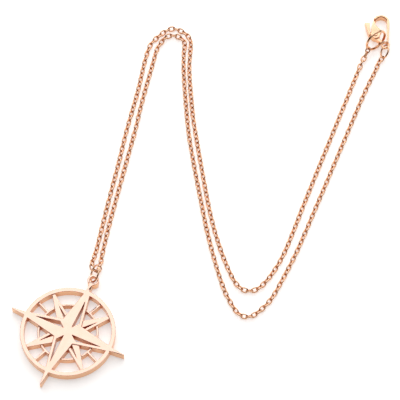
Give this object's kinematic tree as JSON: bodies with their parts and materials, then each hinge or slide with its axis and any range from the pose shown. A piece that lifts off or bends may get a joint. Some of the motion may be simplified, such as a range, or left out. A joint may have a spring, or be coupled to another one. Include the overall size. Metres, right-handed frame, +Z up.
{
  "type": "compass pendant necklace",
  "caption": "Pierced compass-rose pendant with pointed spikes on a fine cable chain, closed by a lobster clasp and laid out in a zigzag.",
  "frame": {"origin": "middle of the compass rose on its flat back, where it rests on the table", "axes": "+Z up off the table; the chain is laid out towards +X and +Y; the compass's north arm is at 65.6 degrees from +X"},
  "size_m": [0.1025, 0.1115, 0.0069],
  "materials": {
    "pale_gold": "polished rose-gold plating on a cast brass pendant",
    "rose_gold": "polished rose-gold plating on brass wire and castings"
  },
  "bodies": {
    "necklace": {"compass": "pale_gold", "bail_ring": "rose_gold", "chain_ring_side": "rose_gold", "chain_clasp_side": "rose_gold", "clasp_body": "rose_gold", "clasp_rivet": "rose_gold", "end_ring": "rose_gold", "tail_ring": "rose_gold"},
    "lever": {"clasp_lever": "rose_gold"}
  },
  "joints": [
    {"name": "clasp_lever", "type": "hinge", "parent": "necklace", "child": "lever", "pos_m": [0.08355, 0.08978, 0.00176], "axis": [0, 0.1115, 0.9938], "range_deg": [0, 20], "stiffness_Nm_per_rad": 0.0002}
  ]
}
